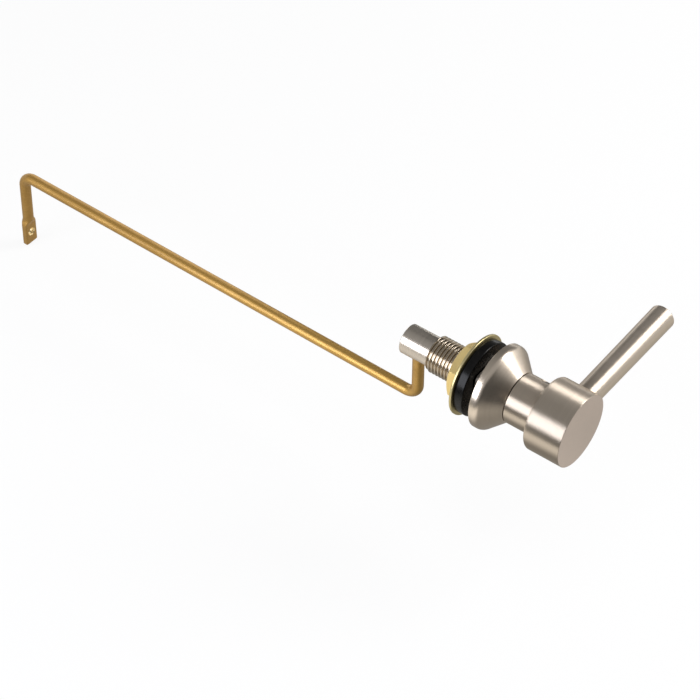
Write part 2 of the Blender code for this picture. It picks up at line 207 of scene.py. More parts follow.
def combine(tree, operation, a, b=0.0):
    node = tree.nodes.new("ShaderNodeMath")
    node.operation = operation
    for socket, value in zip(node.inputs, (a, b)):
        if isinstance(value, bpy.types.NodeSocket):
            tree.links.new(value, socket)
        else:
            socket.default_value = value
    return node.outputs["Value"]


def blend(tree, a, b, share):
    return combine(tree, "ADD", combine(tree, "MULTIPLY", a, share), combine(tree, "MULTIPLY", b, 1 - share))


def tinted(tree, factor, low, high):
    node = tree.nodes.new("ShaderNodeMix")
    node.data_type = "RGBA"
    ends = [socket for socket in node.inputs if socket.type == "RGBA"]
    for socket, colour in zip(ends, (low, high)):
        if isinstance(colour, bpy.types.NodeSocket):
            tree.links.new(colour, socket)
        else:
            socket.default_value = (*colour, 1)
    tree.links.new(factor, node.inputs["Factor"])
    return [socket for socket in node.outputs if socket.type == "RGBA"][0]


def dress(tree, shader, mixed, look):
    # colour and roughness follow one pattern
    colour = tinted(tree, spread(tree, mixed, look["contrast"]), look["dark"], look["light"])
    tree.links.new(colour, shader.inputs["Base Color"])
    tree.links.new(spread(tree, mixed, look["contrast"], look["rough"]), shader.inputs["Roughness"])


def ridges(tree, shader, height, bump):
    strength, depth = bump
    node = tree.nodes.new("ShaderNodeBump")
    node.inputs["Strength"].default_value = strength
    node.inputs["Distance"].default_value = depth * mm
    tree.links.new(height, node.inputs["Height"])
    tree.links.new(node.outputs["Normal"], shader.inputs["Normal"])


def brushedTangent(tree, shader, amount):
    # the blur runs along U, square to the brush lines
    tangent = tree.nodes.new("ShaderNodeTangent")
    tangent.direction_type = "UV_MAP"
    tangent.uv_map = "turned"
    tree.links.new(tangent.outputs["Tangent"], shader.inputs["Tangent"])
    shader.inputs["Anisotropic"].default_value = amount


# finishes

satinLook = {
    "dark": (0.585, 0.505, 0.415), "light": (0.655, 0.570, 0.475), "contrast": (0.3, 0.7),
    "rough": (0.40, 0.46), "aniso": 0.97, "bump": (0.10, 0.01), "lineShare": 0.6,
    "lineAcross": 1500, "lineAlong": 45, "fineAcross": 6000, "cloud": 70.0,
}
handleLook = dict(satinLook, rough=(0.36, 0.42), aniso=0.85)
coneLook = dict(satinLook, rough=(0.27, 0.34), aniso=0.3, lineAcross=1300, lineAlong=60, fineAcross=5000)
hubFaceLook = dict(satinLook, dark=(0.57, 0.485, 0.425), light=(0.63, 0.535, 0.47), rough=(0.32, 0.40), aniso=0,
                   lineAcross=900, lineAlong=900, fineAcross=2500)
headLook = dict(satinLook, dark=(0.58, 0.52, 0.45), light=(0.66, 0.59, 0.51), rough=(0.20, 0.29), aniso=0,
                lineAcross=1200, lineAlong=120, fineAcross=5000)
threadLook = dict(satinLook, dark=(0.44, 0.38, 0.30), light=(0.53, 0.455, 0.365), rough=(0.14, 0.22), aniso=0,
                  lineAcross=900, lineAlong=300, fineAcross=3000)
# the square's darker colour is painted shade for its recess between gasket and escutcheon; its rougher finish is real
squareShadeLook = dict(threadLook, dark=(0.34, 0.31, 0.27), light=(0.42, 0.38, 0.33), rough=(0.42, 0.52))


def satinNickel(name, look, axis):
    material, tree, shader = startFinish(name)
    across = [look["lineAlong"]] * 3
    across["XYZ".index(axis)] = look["lineAcross"]
    fine = [look["lineAlong"] * 2] * 3
    fine["XYZ".index(axis)] = look["fineAcross"]
    lines = grain(tree, pattern(tree, across), 1.0, 3.0, 0.6)
    hair = grain(tree, pattern(tree, fine), 1.0, 2.0, 0.5)
    cloud = grain(tree, pattern(tree, (1, 1, 1)), look["cloud"], 3.0)
    dress(tree, shader, blend(tree, lines, cloud, look["lineShare"]), look)
    shader.inputs["Metallic"].default_value = 1.0
    ridges(tree, shader, combine(tree, "ADD", lines, hair), look["bump"])
    if look["aniso"]:
        brushedTangent(tree, shader, look["aniso"])
    return material


steelLook = {"dark": (0.05, 0.05, 0.055), "light": (0.13, 0.125, 0.12), "contrast": (0.3, 0.7),
             "rough": (0.32, 0.48), "bump": (0.15, 0.02), "scale": 900}


def darkSteel(name, look):
    material, tree, shader = startFinish(name)
    cloud = grain(tree, pattern(tree, (1, 1, 1)), look["scale"], 4.0, 0.6)
    dress(tree, shader, cloud, look)
    shader.inputs["Metallic"].default_value = 1.0
    ridges(tree, shader, cloud, look["bump"])
    return material


nutLook = {"dark": (0.80, 0.61, 0.25), "light": (0.86, 0.69, 0.33), "contrast": (0.32, 0.68), "rough": (0.48, 0.58),
           "bump": (0.15, 0.03), "lineAcross": 1400, "lineAlong": 90, "lineShare": 0.5, "cloud": 160.0}
# the flange is the same brass as the hexagon: its lower roughness is real, its darker colour is painted shade that
# dims its reflections
flangeShadeLook = dict(nutLook, dark=(0.53, 0.45, 0.23), light=(0.62, 0.53, 0.28), rough=(0.36, 0.46), lineAlong=300)
freshLook = dict(nutLook, dark=(0.86, 0.68, 0.36), light=(0.95, 0.78, 0.46), rough=(0.30, 0.40),
                 lineAcross=900, lineAlong=900)


def machinedBrass(name, look):
    material, tree, shader = startFinish(name)
    lines = grain(tree, pattern(tree, (look["lineAlong"], look["lineAcross"], look["lineAlong"])), 1.0, 3.0, 0.6)
    cloud = grain(tree, pattern(tree, (1, 1, 1)), look["cloud"], 4.0, 0.6)
    mixed = blend(tree, lines, cloud, look["lineShare"])
    dress(tree, shader, mixed, look)
    shader.inputs["Metallic"].default_value = 1.0
    ridges(tree, shader, mixed, look["bump"])
    return material


armLook = {
    "dark": (0.44, 0.255, 0.055), "light": (0.56, 0.34, 0.088), "contrast": (0.33, 0.67),
    "farDark": (0.38, 0.22, 0.050), "farLight": (0.50, 0.30, 0.08), "farShading": (0.08, 0.20),
    "rough": (0.54, 0.40), "dulled": 0.16, "dulling": (0.05, 0.17), "lacquer": 0.45, "lacquerRough": 0.28,
    "drawAcross": 1500, "drawAlong": 40, "drawShare": 0.35, "cloud": 130.0, "cloudAlong": 0.35,
    "marks": (500, 900, 500), "markTurn": (0.6, 0.0, 0.5), "bump": (0.22, 0.03),
}


def rawBrass(name, look):
    # drawn rod: lines along it, cloudy tarnish and a few oblique tool marks; darker at the far end as painted shade,
    # and duller there
    material, tree, shader = startFinish(name)
    draw = grain(tree, pattern(tree, (look["drawAcross"], look["drawAlong"], look["drawAcross"])), 1.0, 3.0, 0.6)
    cloud = grain(tree, pattern(tree, (1, look["cloudAlong"], 1)), look["cloud"], 5.0, 0.65)
    marks = grain(tree, pattern(tree, look["marks"], look["markTurn"]), 1.0, 2.0, 0.5)
    mixed = blend(tree, draw, cloud, look["drawShare"])
    blotch = spread(tree, mixed, look["contrast"])
    along = placeOf(tree)["Y"]
    near = tinted(tree, blotch, look["dark"], look["light"])
    far = tinted(tree, blotch, look["farDark"], look["farLight"])
    # the far-end colours are darker as painted shade
    tree.links.new(tinted(tree, spread(tree, along, look["farShading"]), near, far), shader.inputs["Base Color"])
    rough = spread(tree, mixed, look["contrast"], look["rough"])
    dulled = spread(tree, along, look["dulling"], (0, look["dulled"]))
    tree.links.new(combine(tree, "ADD", rough, dulled), shader.inputs["Roughness"])
    shader.inputs["Metallic"].default_value = 1.0
    shader.inputs["Coat Weight"].default_value = look["lacquer"]
    shader.inputs["Coat Roughness"].default_value = look["lacquerRough"]
    ridges(tree, shader, combine(tree, "ADD", draw, marks), look["bump"])
    return material


rubberLook = {"dark": (0.002, 0.002, 0.002), "light": (0.006, 0.0055, 0.005), "contrast": (0.35, 0.65),
              "rough": (0.20, 0.30), "shine": 0.17, "scale": 700, "cloudShare": 0.12, "bump": (0.25, 0.03)}
nylonLook = dict(rubberLook, dark=(0.005, 0.005, 0.005), light=(0.014, 0.014, 0.014), rough=(0.4, 0.55), shine=0.35,
                 scale=500, bump=(0.25, 0.02))
acetalLook = dict(rubberLook, dark=(0.68, 0.67, 0.62), light=(0.78, 0.77, 0.73), rough=(0.34, 0.46), shine=0.5,
                  scale=400, bump=(0.25, 0.02))


def mouldedPlastic(name, look):
    material, tree, shader = startFinish(name)
    speck = grain(tree, pattern(tree, (1, 1, 1)), look["scale"], 5.0, 0.65)
    cloud = grain(tree, pattern(tree, (1, 1, 1)), look["scale"] * look["cloudShare"], 3.0)
    dress(tree, shader, blend(tree, speck, cloud, 0.5), look)
    shader.inputs["Specular IOR Level"].default_value = look["shine"]
    ridges(tree, shader, speck, look["bump"])
    return material


finishes = {
    "turnedY": satinNickel("satin nickel round the spindle", satinLook, "Y"),
    "turnedX": satinNickel("satin nickel round the handle", handleLook, "X"),
    "cone": satinNickel("satin nickel cone", coneLook, "Y"),
    "hubFace": satinNickel("satin nickel hub face", hubFaceLook, "Z"),
    "head": satinNickel("plain nickel spindle", headLook, "Y"),
    "thread": satinNickel("bright nickel thread", threadLook, "Y"),
    "square": satinNickel("dull nickel square darkened as painted shade", squareShadeLook, "Y"),
    "steel": darkSteel("black oxide steel", steelLook),
    "nut": machinedBrass("machined brass", nutLook),
    "flange": machinedBrass("smooth brass flange darkened as painted shade", flangeShadeLook),
    "freshBrass": machinedBrass("freshly drilled brass", freshLook),
    "arm": rawBrass("raw drawn brass", armLook),
    "rubber": mouldedPlastic("black rubber", rubberLook),
    "nylon": mouldedPlastic("black nylon", nylonLook),
    "acetal": mouldedPlastic("natural acetal", acetalLook),
}
print("finishes:", len(finishes))


def paint(piece, plain, special=None, isSpecial=None):
    # one finish all over, or a second one on the faces that the test picks
    piece.data.materials.clear()
    piece.data.materials.append(finishes[plain])
    if special:
        piece.data.materials.append(finishes[special])
        for face in piece.data.polygons:
            face.material_index = 1 if isSpecial(face) else 0


def keep(piece, body, node):
    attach(piece, body)
    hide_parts(node)
    print("piece:", piece.name, len(piece.data.polygons), "faces")


# hub: a drum and a neck turned from one bar

hubSize = {
    "drumR": 15.0, "neckR": 10.3, "face": -38.4, "drumRear": -22.4, "neckRear": -10.9,
    "faceEdge": 0.25, "rearRound": 1.6, "fillet": 0.9, "neckEdge": 0.12,
    "boreR": 4.2, "boreEnd": -24.85, "sides": 192, "row": 0.7, "arcSteps": 8,
    "handleY": -30.1, "seatX": 13.0, "seatR": 4.975, "seatDepth": 6.0, "seatSides": 96,
    "studX": 4.3, "studR": 2.7, "studDepth": 9.5, "holeSides": 48,
    "screwY": -18.3, "screwAngle": 48.0, "screwR": 2.1, "screwEdge": 0.45, "screwFlare": 1.5,
}


def makeHub(size):
    corners = [
        (poleR, size["face"], 0),
        (size["drumR"], size["face"], size["faceEdge"]),
        (size["drumR"], size["drumRear"], size["rearRound"]),
        (size["neckR"], size["drumRear"], size["fillet"]),
        (size["neckR"], size["neckRear"], size["neckEdge"]),
        (size["boreR"], size["neckRear"], 0),
        (size["boreR"], size["boreEnd"], 0),
        (poleR, size["boreEnd"], 0),
    ]
    outline = filledIn(roundedOutline(corners, size["arcSteps"]), size["row"], False)
    hub = skin("hubTurned", [aroundY(r, y, size["sides"]) for r, y in outline])
    seat = [(0, size["seatR"]), (size["seatDepth"], size["seatR"])]
    drill(hub, (size["seatX"], size["handleY"], 0), (1, 0, 0), seat, size["seatSides"])
    stud = [(0, size["studR"]), (size["studDepth"], size["studR"])]
    drill(hub, (size["studX"], size["handleY"], 0), (1, 0, 0), stud, size["holeSides"])
    lean = math.radians(size["screwAngle"])
    rim, r, flare = size["neckR"] - size["screwEdge"], size["screwR"], size["screwFlare"]
    drill(hub, (0, size["screwY"], 0), (math.cos(lean), 0, math.sin(lean)),
          [(0, r), (rim, r), (rim + flare, r + flare)], size["holeSides"])

    def onFace(face):
        return face.normal.y < -0.95 and abs(face.center.y - size["face"] * mm) < 0.05 * mm

    paint(hub, "turnedY", "hubFace", onFace)
    keep(hub, "lever", "hub")


makeHub(hubSize)


# handle: flares a little towards its tip

handleSize = {
    "middle": (-30.1, 0), "rootX": 13.2, "tipX": 69.0, "rootR": 4.875, "tipR": 5.2, "tipEdge": 0.5,
    "boreR": 2.7, "boreEndX": 23.2, "sides": 128, "row": 1.0, "arcSteps": 8,
}


def makeHandle(size):
    corners = [
        (poleR, size["boreEndX"], 0),
        (size["boreR"], size["boreEndX"], 0),
        (size["boreR"], size["rootX"], 0),
        (size["rootR"], size["rootX"], 0),
        (size["tipR"], size["tipX"], size["tipEdge"]),
        (poleR, size["tipX"], 0),
    ]
    outline = filledIn(roundedOutline(corners, size["arcSteps"]), size["row"], False)
    handle = skin("handleTurned", [aroundX(r, x, size["sides"], size["middle"]) for r, x in outline])
    paint(handle, "turnedX")
    keep(handle, "lever", "handle_rod")


makeHandle(handleSize)


# escutcheon: a cone with a straight rim and a hollow back

coneSize = {
    "rimR": 17.4, "front": -10.25, "rimH": 3.15, "rimRound": 3.0, "edge": 0.3, "frontR": 10.5,
    "collarR": 9.6, "collarH": 0.24, "collarEdge": 0.1,  # a raised edge round the thrust washer
    "hollowR": 15.2, "hollow": -3.0, "hollowRound": 0.4, "lip": -8.0, "spigotR": 7.2, "shaftR": 4.2,
    "sides": 192, "row": 0.8, "arcSteps": 10,
}


def makeCone(size):
    slope = (size["rimR"] - size["frontR"]) / (size["front"] + size["rimH"])
    corners = [
        (size["hollowR"], 0, 0),
        (size["rimR"], 0, size["edge"]),
        (size["rimR"], -size["rimH"], size["rimRound"]),
        (size["frontR"] + slope * size["collarH"], size["front"] - size["collarH"], size["collarEdge"]),
        (size["collarR"], size["front"] - size["collarH"], 0),
        (size["collarR"], size["front"], 0),
        (size["shaftR"], size["front"], 0),
        (size["shaftR"], size["lip"], 0),
        (size["spigotR"], size["lip"], 0),
        (size["spigotR"], size["hollow"], 0),
        (size["hollowR"], size["hollow"], size["hollowRound"]),
    ]
    outline = filledIn(roundedOutline(corners, size["arcSteps"]), size["row"], True)
    cone = skin("escutcheonTurned", [aroundY(r, y, size["sides"]) for r, y in outline], looped=True)
    paint(cone, "cone")
    keep(cone, "mount", "escutcheon")


makeCone(coneSize)


# threaded shank: spigot, square and a left-hand thread that a node tree cuts

shankSize = {
    "boreR": 5.4, "spigotR": 7.0, "spigotFront": -7.8, "squareFront": -2.8, "squareEnd": 4.1, "squareHalf": 7.75,
    "squareRound": 2.2, "squareEdge": 0.25, "crestR": 7.5, "end": 27.2, "endEdge": 0.5, "endSlope": 1.2,
    "sides": 160, "row": 0.06, "sharpAngle": 40.0, "pitch": 1.5, "depth": 0.85, "crestFlat": 0.16,
    "rootFlat": 0.10, "hand": -1.0, "runIn": 0.9, "runOut": 0.25, "skin": 0.05, "startGap": 0.01,
}


def squareRing(half, rounding, station, sides):
    ring = []
    for turn in turnsOf(sides):
        lean = (turn + math.pi / 4) % (math.pi / 2) - math.pi / 4
        flat = math.atan((half - rounding) / half)
        if abs(lean) <= flat:
            reach = half / math.cos(lean)
        else:
            fromCorner = math.pi / 4 - abs(lean)
            middle = (half - rounding) * math.sqrt(2)
            reach = middle * math.cos(fromCorner) + math.sqrt(rounding ** 2 - (middle * math.sin(fromCorner)) ** 2)
        ring.append(Vector((reach * math.cos(turn), station, reach * math.sin(turn))) * mm)
    return ring


def threadTree(settings):
    tree = bpy.data.node_groups.new("cutThread", "GeometryNodeTree")
    sockets = tree.interface
    sockets.new_socket("Geometry", in_out="INPUT", socket_type="NodeSocketGeometry")
    for name in settings:
        kind = "NodeSocketMaterial" if name == "Material" else "NodeSocketFloat"
        sockets.new_socket(name, in_out="INPUT", socket_type=kind)
    sockets.new_socket("Geometry", in_out="OUTPUT", socket_type="NodeSocketGeometry")
    given = tree.nodes.new("NodeGroupInput").outputs
    out = tree.nodes.new("NodeGroupOutput")

    def calc(operation, a, b=0.0):
        return combine(tree, operation, a, b)

    def ramp(value, low, high):
        node = tree.nodes.new("ShaderNodeMapRange")
        node.interpolation_type = "SMOOTHSTEP"
        for name, socket in (("Value", value), ("From Min", low), ("From Max", high)):
            tree.links.new(socket, node.inputs[name])
        return node.outputs["Result"]

    def above(value, limit):
        node = tree.nodes.new("FunctionNodeCompare")
        node.data_type = "FLOAT"
        node.operation = "GREATER_THAN"
        tree.links.new(value, node.inputs[0])
        tree.links.new(limit, node.inputs[1])
        return node.outputs["Result"]

    place = tree.nodes.new("GeometryNodeInputPosition")
    split = tree.nodes.new("ShaderNodeSeparateXYZ")
    tree.links.new(place.outputs["Position"], split.inputs["Vector"])
    x, y, z = split.outputs
    radius = calc("SQRT", calc("ADD", calc("MULTIPLY", x, x), calc("MULTIPLY", z, z)))
    turns = calc("DIVIDE", calc("ARCTAN2", z, x), 2 * math.pi)
    along = calc("ADD", calc("DIVIDE", y, given["Pitch"]), calc("MULTIPLY", turns, given["Hand"]))
    ridge = calc("ABSOLUTE", calc("SUBTRACT", calc("MULTIPLY", calc("FRACT", along), 2.0), 1.0))
    groove = ramp(ridge, given["Crest Flat"], calc("SUBTRACT", 1.0, given["Root Flat"]))
    fadeIn = ramp(y, given["Start"], calc("ADD", given["Start"], given["Run In"]))
    fadeOut = calc("SUBTRACT", 1.0, ramp(y, calc("SUBTRACT", given["End"], given["Run Out"]), given["End"]))
    cut = calc("MULTIPLY", calc("MULTIPLY", groove, given["Depth"]), calc("MULTIPLY", fadeIn, fadeOut))
    onCrest = tree.nodes.new("FunctionNodeBooleanMath")
    onCrest.operation = "AND"
    tree.links.new(above(radius, calc("SUBTRACT", given["Crest R"], given["Skin"])), onCrest.inputs[0])
    tree.links.new(above(y, given["Start"]), onCrest.inputs[1])
    scale = calc("DIVIDE", calc("MULTIPLY", cut, -1.0), radius)
    move = tree.nodes.new("ShaderNodeCombineXYZ")
    tree.links.new(calc("MULTIPLY", x, scale), move.inputs["X"])
    tree.links.new(calc("MULTIPLY", z, scale), move.inputs["Z"])
    shift = tree.nodes.new("GeometryNodeSetPosition")
    tree.links.new(given["Geometry"], shift.inputs["Geometry"])
    tree.links.new(onCrest.outputs["Boolean"], shift.inputs["Selection"])
    tree.links.new(move.outputs["Vector"], shift.inputs["Offset"])
    real = tree.nodes.new("GeometryNodeRealizeInstances")
    coat = tree.nodes.new("GeometryNodeSetMaterial")
    tree.links.new(shift.outputs["Geometry"], real.inputs["Geometry"])
    tree.links.new(real.outputs["Geometry"], coat.inputs["Geometry"])
    tree.links.new(given["Material"], coat.inputs["Material"])
    tree.links.new(coat.outputs["Geometry"], out.inputs["Geometry"])
    return tree


def makeShank(size):
    sides, edge, half = size["sides"], size["squareEdge"], size["squareHalf"]
    rings = [aroundY(size["boreR"], size["end"], sides), aroundY(size["boreR"], size["spigotFront"], sides)]
    rings += [aroundY(size["spigotR"], y, sides) for y in (size["spigotFront"], size["squareFront"])]
    for shrink, y in ((edge, size["squareFront"]), (0, size["squareFront"] + edge),
                      (0, size["squareEnd"] - edge), (edge, size["squareEnd"])):
        rings.append(squareRing(half - shrink, size["squareRound"], y, sides))
    start = size["squareEnd"]
    straight = size["end"] - size["endEdge"]
    steps = math.ceil((straight - start) / size["row"])
    rings += [aroundY(size["crestR"], start + (straight - start) * k / steps, sides) for k in range(steps + 1)]
    rings.append(aroundY(size["crestR"] - size["endEdge"] * size["endSlope"], size["end"], sides))
    shank = skin("shankThreaded", rings, looped=True)
    settings = {
        "Pitch": size["pitch"] * mm, "Depth": size["depth"] * mm, "Crest Flat": size["crestFlat"],
        "Root Flat": size["rootFlat"], "Hand": size["hand"], "Start": (start + size["startGap"]) * mm,
        "End": size["end"] * mm, "Run In": size["runIn"] * mm, "Run Out": size["runOut"] * mm,
        "Crest R": size["crestR"] * mm, "Skin": size["skin"] * mm, "Material": finishes["thread"],
    }
    tree = threadTree(settings)
    cutter = shank.modifiers.new("thread", "NODES")
    cutter.node_group = tree
    for socket in tree.interface.items_tree:
        if socket.in_out == "INPUT" and socket.name in settings:
            cutter[socket.identifier] = settings[socket.name]
    settle(shank, size["sharpAngle"])
    # the square faces get the darker nickel, which is painted shade
    paint(shank, "thread", "square", lambda face: face.center.y < start * mm)
    keep(shank, "mount", "threaded_shank")


makeShank(shankSize)


# spindle: thin shaft and the thicker head that holds the arm

spindleSize = {
    "shaftR": 4.0, "front": -24.65, "edge": 0.3, "grooveR": 3.5, "grooveY": 9.7, "grooveHalf": 1.0,
    "headR": 6.1, "headFront": 27.4, "headEnd": 40.25, "shoulderEdge": 0.15, "headEdge": 0.35,
    "armY": 35.15, "armR": 2.58, "armTop": 3.4, "armDepth": 12.0, "screwR": 2.7, "screwDepth": 8.0,
    "sides": 128, "holeSides": 64, "row": 0.6, "arcSteps": 6,
}


def makeSpindle(size):
    grooveFront, grooveRear = size["grooveY"] - size["grooveHalf"], size["grooveY"] + size["grooveHalf"]
    corners = [
        (poleR, size["front"], 0),
        (size["shaftR"], size["front"], size["edge"]),
        (size["shaftR"], grooveFront, 0),
        (size["grooveR"], grooveFront, 0),
        (size["grooveR"], grooveRear, 0),
        (size["shaftR"], grooveRear, 0),
        (size["shaftR"], size["headFront"], 0),
        (size["headR"], size["headFront"], size["shoulderEdge"]),
        (size["headR"], size["headEnd"], size["headEdge"]),
        (poleR, size["headEnd"], 0),
    ]
    outline = filledIn(roundedOutline(corners, size["arcSteps"]), size["row"], False)
    spindle = skin("spindleTurned", [aroundY(r, y, size["sides"]) for r, y in outline])
    armHole = [(0, size["armR"]), (size["armDepth"], size["armR"])]
    drill(spindle, (0, size["armY"], size["armTop"]), (0, 0, -1), armHole, size["holeSides"])
    screwHole = [(0, size["screwR"]), (size["screwDepth"], size["screwR"])]
    drill(spindle, (0, size["armY"], 0), (0, 1, 0), screwHole, size["holeSides"])
    paint(spindle, "head")
    keep(spindle, "lever", "spindle")


makeSpindle(spindleSize)


# gasket and thrust washer

gasketSize = {"holeR": 7.7, "rimR": 15.4, "front": 4.3, "rear": 8.0, "frontRound": 0.45, "rearRound": 0.25,
              "sides": 160, "row": 0.8, "arcSteps": 8}
washerSize = {"holeR": 4.2, "rimR": 9.4, "front": -10.8, "rear": -10.4, "frontRound": 0.08, "rearRound": 0.08,
              "sides": 128, "row": 1.0, "arcSteps": 8}


def makeRing(name, size, finish):
    corners = [
        (size["holeR"], size["front"], 0),
        (size["rimR"], size["front"], size["frontRound"]),
        (size["rimR"], size["rear"], size["rearRound"]),
        (size["holeR"], size["rear"], 0),
    ]
    outline = filledIn(roundedOutline(corners, size["arcSteps"]), size["row"], True)
    piece = skin(name, [aroundY(r, y, size["sides"]) for r, y in outline], looped=True)
    paint(piece, finish)
    return piece


keep(makeRing("gasketMoulded", gasketSize, "rubber"), "seal", "gasket")
keep(makeRing("thrustRing", washerSize, "nylon"), "mount", "thrust_washer")


# lock nut: hexagon with a thin round flange

nutSize = {
    "holeR": 7.7, "flangeR": 16.8, "front": 8.2, "flangeT": 1.1, "flangeEdge": 0.35, "flangeRow": 1.0, "rear": 15.0,
    "flatR": 10.35, "cornerRound": 0.35, "clocking": 27.0, "chamferR": 10.15, "chamferAngle": 30.0, "fillet": 0.25,
    "holeEdge": 0.5, "sides": 360, "row": 0.12, "arcSteps": 6, "sharpAngle": 22.0,
}


def hexReach(turn, flat, rounding):
    lean = (turn + math.pi / 6) % (math.pi / 3) - math.pi / 6  # zero at a corner
    fromFlat = math.pi / 6 - abs(lean)
    if fromFlat <= math.atan((flat - rounding) * math.tan(math.pi / 6) / flat):
        return flat / math.cos(fromFlat)
    middle = (flat - rounding) / math.cos(math.pi / 6)
    return middle * math.cos(lean) + math.sqrt(rounding ** 2 - (middle * math.sin(lean)) ** 2)


def makeNut(size):
    sides, holeR, holeEdge = size["sides"], size["holeR"], size["holeEdge"]
    flangeRear = size["front"] + size["flangeT"]
    flange = roundedOutline([
        (holeR, size["front"], 0),
        (size["flangeR"], size["front"], size["flangeEdge"]),
        (size["flangeR"], flangeRear, size["flangeEdge"]),
        (holeR, flangeRear, 0),
    ], size["arcSteps"])
    rings = [aroundY(holeR, size["rear"] - holeEdge, sides), aroundY(holeR, size["front"] + holeEdge, sides),
             aroundY(holeR + holeEdge, size["front"], sides)]
    rings += [aroundY(r, y, sides) for r, y in filledIn(flange[1:-1], size["flangeRow"], False)]
    clock = math.radians(size["clocking"])
    slope = math.tan(math.radians(size["chamferAngle"]))
    height = size["rear"] - flangeRear
    steps = math.ceil(height / size["row"])
    for k in range(steps + 1):
        y = flangeRear + height * k / steps
        cone = size["chamferR"] + (size["rear"] - y) / slope
        foot = max(0.0, size["fillet"] - (y - flangeRear))
        ring = []
        for turn in turnsOf(sides):
            reach = min(hexReach(turn - clock, size["flatR"], size["cornerRound"]), cone) + foot
            ring.append(Vector((reach * math.cos(turn), y, reach * math.sin(turn))) * mm)
        rings.append(ring)
    rings.append(aroundY(holeR + holeEdge, size["rear"], sides))
    nut = skin("lockNutMachined", rings, looped=True, sharpAngle=size["sharpAngle"])
    # the flange faces get the darker brass, which is painted shade
    paint(nut, "nut", "flange", lambda face: face.center.y < (flangeRear + 0.02) * mm)
    keep(nut, "nut", "lock_nut")


makeNut(nutSize)


# arm: one bent rod, pressed flat and drilled at its tip

armSize = {
    "station": 35.15, "rodR": 2.38, "top": 3.2, "drop": 28.3, "run": 206.5, "rise": 0.5, "bendR": 5.6,
    "lean": 2.0, "tail": 38.6, "endEdge": 0.5, "tipEdge": 0.35, "paddleLength": 14.0, "paddleTaper": 3.5,
    "paddleW": 6.5, "paddleT": 2.6, "press": 7.0, "holeR": 1.6, "holeFromTip": 6.2, "holeEdge": 0.35,
    "holeFlare": 0.5, "holeSides": 48, "sides": 96, "row": 4.0, "bendSteps": 28, "edgeSteps": 4,
    "taperSteps": 12, "flatSteps": 9,
}
roundPower = 2.0  # a superellipse of this power is a plain ellipse


def bendPoints(corner, before, after, radius, steps):
    half = before.angle(after) / 2
    start = corner - before * radius * math.tan(half)
    inward = (after - before * before.dot(after)).normalized()
    points = []
    for k in range(steps + 1):
        turn = 2 * half * k / steps
        ahead = before * math.sin(turn) + inward * (1 - math.cos(turn))
        points.append((start + ahead * radius, before * math.cos(turn) + inward * math.sin(turn)))
    return points


def armRing(centre, heading, halfW, halfT, power, sides):
    side = Vector((1, 0, 0))
    normal = heading.cross(side)
    ring = []
    for turn in turnsOf(sides):
        c, s = math.cos(turn), math.sin(turn)
        a = halfW * math.copysign(abs(c) ** (2 / power), c)
        b = halfT * math.copysign(abs(s) ** (2 / power), s)
        ring.append((centre + side * a + normal * b) * mm)
    return ring


def makeArm(size):
    down = Vector((0, 0, -1))
    rise, lean = math.radians(size["rise"]), math.radians(size["lean"])
    run = Vector((0, math.cos(rise), math.sin(rise)))
    tail = Vector((0, math.sin(lean), -math.cos(lean)))
    head = Vector((0, size["station"], 0))
    top = head - down * size["top"]
    elbow = head + down * size["drop"]
    corner = elbow + run * size["run"]
    tip = corner + tail * size["tail"]
    paddleTop = tip - tail * size["paddleLength"]
    flat = paddleTop + tail * size["paddleTaper"]
    r, sides, endEdge, tipEdge = size["rodR"], size["sides"], size["endEdge"], size["tipEdge"]
    halfW, halfT, press = size["paddleW"] / 2, size["paddleT"] / 2, size["press"]
    quarter = [math.pi / 2 * k / size["edgeSteps"] for k in range(size["edgeSteps"] + 1)]
    rings = []
    for turn in quarter:
        span = r - endEdge * (1 - math.sin(turn))
        rings.append(armRing(top + down * endEdge * (1 - math.cos(turn)), down, span, span, roundPower, sides))
    path = bendPoints(elbow, down, run, size["bendR"], size["bendSteps"])
    path += bendPoints(corner, run, tail, size["bendR"], size["bendSteps"])
    path.append((paddleTop, tail))
    last = top + down * endEdge
    for point, heading in path:
        gap = (point - last).length
        for k in range(1, math.floor(gap / size["row"])):
            rings.append(armRing(last.lerp(point, k * size["row"] / gap), heading, r, r, roundPower, sides))
        rings.append(armRing(point, heading, r, r, roundPower, sides))
        last = point
    for k in range(1, size["taperSteps"] + 1):
        share = k / size["taperSteps"]
        ease = share * share * (3 - 2 * share)
        rings.append(armRing(paddleTop.lerp(flat, share), tail, r + (halfW - r) * ease, r + (halfT - r) * ease,
                             roundPower + (press - roundPower) * ease, sides))
    for k in range(1, size["flatSteps"] + 1):
        spot = flat.lerp(tip - tail * tipEdge, k / size["flatSteps"])
        rings.append(armRing(spot, tail, halfW, halfT, press, sides))
    for turn in quarter[1:]:
        inset = tipEdge * (1 - math.cos(turn))
        rings.append(armRing(tip - tail * tipEdge * (1 - math.sin(turn)), tail, halfW - inset, halfT - inset,
                             press, sides))
    arm = skin("armBent", rings)
    hole = tip - tail * size["holeFromTip"]
    through = tail.cross(Vector((-1, 0, 0)))
    holeR, holeEdge, flare = size["holeR"], size["holeEdge"], size["holeFlare"]
    drill(arm, hole, through, [
        (-halfT - flare, holeR + holeEdge + flare), (-halfT + holeEdge, holeR),
        (halfT - holeEdge, holeR), (halfT + flare, holeR + holeEdge + flare),
    ], size["holeSides"])

    def inHole(face):
        away = face.center / mm - hole
        fromAxis = (away - through * away.dot(through)).length
        return fromAxis < holeR + holeEdge + 0.05 and abs(face.normal.dot(through)) < 0.9

    paint(arm, "arm", "freshBrass", inHole)
    keep(arm, "arm", "arm_rod")


makeArm(armSize)


# set screws with hexagon sockets

hubScrewSize = {"r": 2.0, "length": 5.6, "foot": 4.2, "edge": 0.3, "sides": 72,
                "socketR": 1.0, "socketDepth": 1.0, "socketRound": 0.05, "socketEdge": 0.12}
armScrewSize = dict(hubScrewSize, r=2.5, length=2.22, foot=37.73, socketR=1.25)


